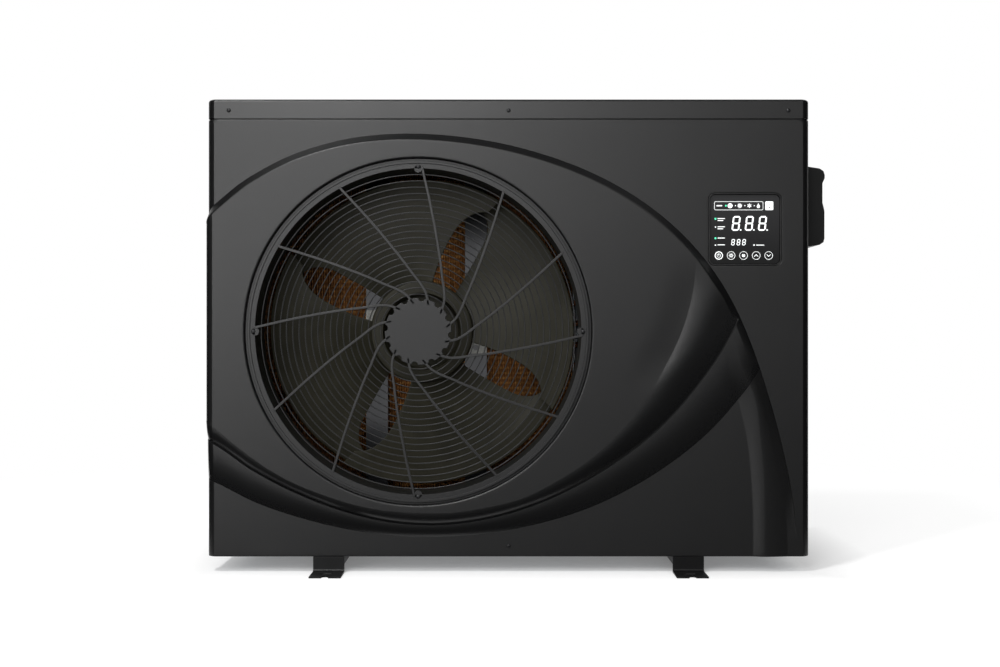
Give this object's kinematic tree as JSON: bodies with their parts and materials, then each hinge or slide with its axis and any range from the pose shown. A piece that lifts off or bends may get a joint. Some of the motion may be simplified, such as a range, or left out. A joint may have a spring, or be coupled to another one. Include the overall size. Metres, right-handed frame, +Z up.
{
  "type": "heat pump unit",
  "caption": "Outdoor air-source heat pump for pool and spa water: dark casing with a front fan grille, swept front mouldings, a touch display, foot rails and rear water unions.",
  "frame": {"origin": "centre of the four foot anchor slots, at floor level", "axes": "+X to the right of somebody who faces the fan grille, along the width; +Y from the grille to the rear; +Z up"},
  "size_m": [0.9418, 0.476, 0.714],
  "materials": {
    "front_moulding": "satin, fine speckled texture",
    "casing_paint": "satin powder coat, fine speckled texture",
    "foot_paint": "satin powder coat",
    "cover_plastic": "satin",
    "galvanised": "galvanised, dull spangle",
    "black_plastic": "matt",
    "grille_plastic": "satin",
    "fan_plastic": "satin, olive grey",
    "display_glass": "polished dark glass",
    "circuit_board": "satin solder mask",
    "screw_steel": "dark zinc",
    "shaft_steel": "ground",
    "motor_aluminium": "cast, matt",
    "golden_fins": "golden hydrophilic coating",
    "copper": "drawn copper, slightly dull",
    "valve_brass": "machined",
    "compressor_paint": "gloss black paint",
    "grommet_rubber": "matt",
    "shell_plastic": "smooth grey PVC",
    "union_plastic": "smooth dark PVC",
    "titanium": "drawn titanium",
    "capacitor_sleeve": "shrink sleeve",
    "reactor_iron": "varnished laminations"
  },
  "bodies": {
    "casing": {"accumulator": "compressor_paint", "accumulator_strap": "galvanised", "base_pan": "galvanised", "cable_glands": "black_plastic", "capacitors": "capacitor_sleeve", "casing_screws": "screw_steel", "compressor": "compressor_paint", "compressor_cap": "black_plastic", "compressor_grommets": "grommet_rubber", "compressor_studs": "screw_steel", "discharge_line": "copper", "display_bezel": "black_plastic", "display_board": "circuit_board", "display_window": "display_glass", "drain_spigot": "black_plastic", "electrical_box": "galvanised", "evaporator_fins": "golden_fins", "evaporator_tubes": "copper", "exchanger_coil": "titanium", "exchanger_shell": "shell_plastic", "exchanger_stand": "galvanised", "expansion_valve": "valve_brass", "fan_grille": "grille_plastic", "fan_motor": "motor_aluminium", "fan_shroud": "black_plastic", "filter_drier": "compressor_paint", "flow_switch": "black_plastic", "foot_rail_left": "foot_paint", "foot_rail_right": "foot_paint", "front_panel": "front_moulding", "gas_lines": "copper", "grille_screws": "screw_steel", "heat_sink": "motor_aluminium", "inverter_board": "circuit_board", "lid_screws": "screw_steel", "liquid_lines": "copper", "motor_bolts": "screw_steel", "motor_bracket": "galvanised", "partition_plate": "galvanised", "pressure_switch": "valve_brass", "reactor": "reactor_iron", "rear_coil_guard": "casing_paint", "rear_service_panel": "casing_paint", "reversing_valve": "copper", "side_panel_left": "casing_paint", "side_panel_right": "casing_paint", "suction_lines": "copper", "terminal_block": "black_plastic", "terminal_cover": "cover_plastic", "top_cover": "casing_paint", "tube_sheets": "galvanised", "union_tails": "union_plastic", "valve_coil": "black_plastic", "water_pipes": "shell_plastic"},
    "fan_rotor": {"fan": "fan_plastic", "fan_nut": "screw_steel", "motor_shaft": "shaft_steel"},
    "nut_in": {"union_nut_in": "union_plastic"},
    "nut_out": {"union_nut_out": "union_plastic"}
  },
  "joints": [
    {"name": "fan_spin", "type": "hinge", "parent": "casing", "child": "fan_rotor", "pos_m": [-0.135, -0.07, 0.3618], "axis": [0, -1, 0], "continuous": true},
    {"name": "nut_in_spin", "type": "hinge", "parent": "casing", "child": "nut_in", "pos_m": [0.363, 0.2, 0.129], "axis": [0, 1, 0], "continuous": true},
    {"name": "nut_out_spin", "type": "hinge", "parent": "casing", "child": "nut_out", "pos_m": [0.363, 0.2, 0.429], "axis": [0, 1, 0], "continuous": true}
  ]
}
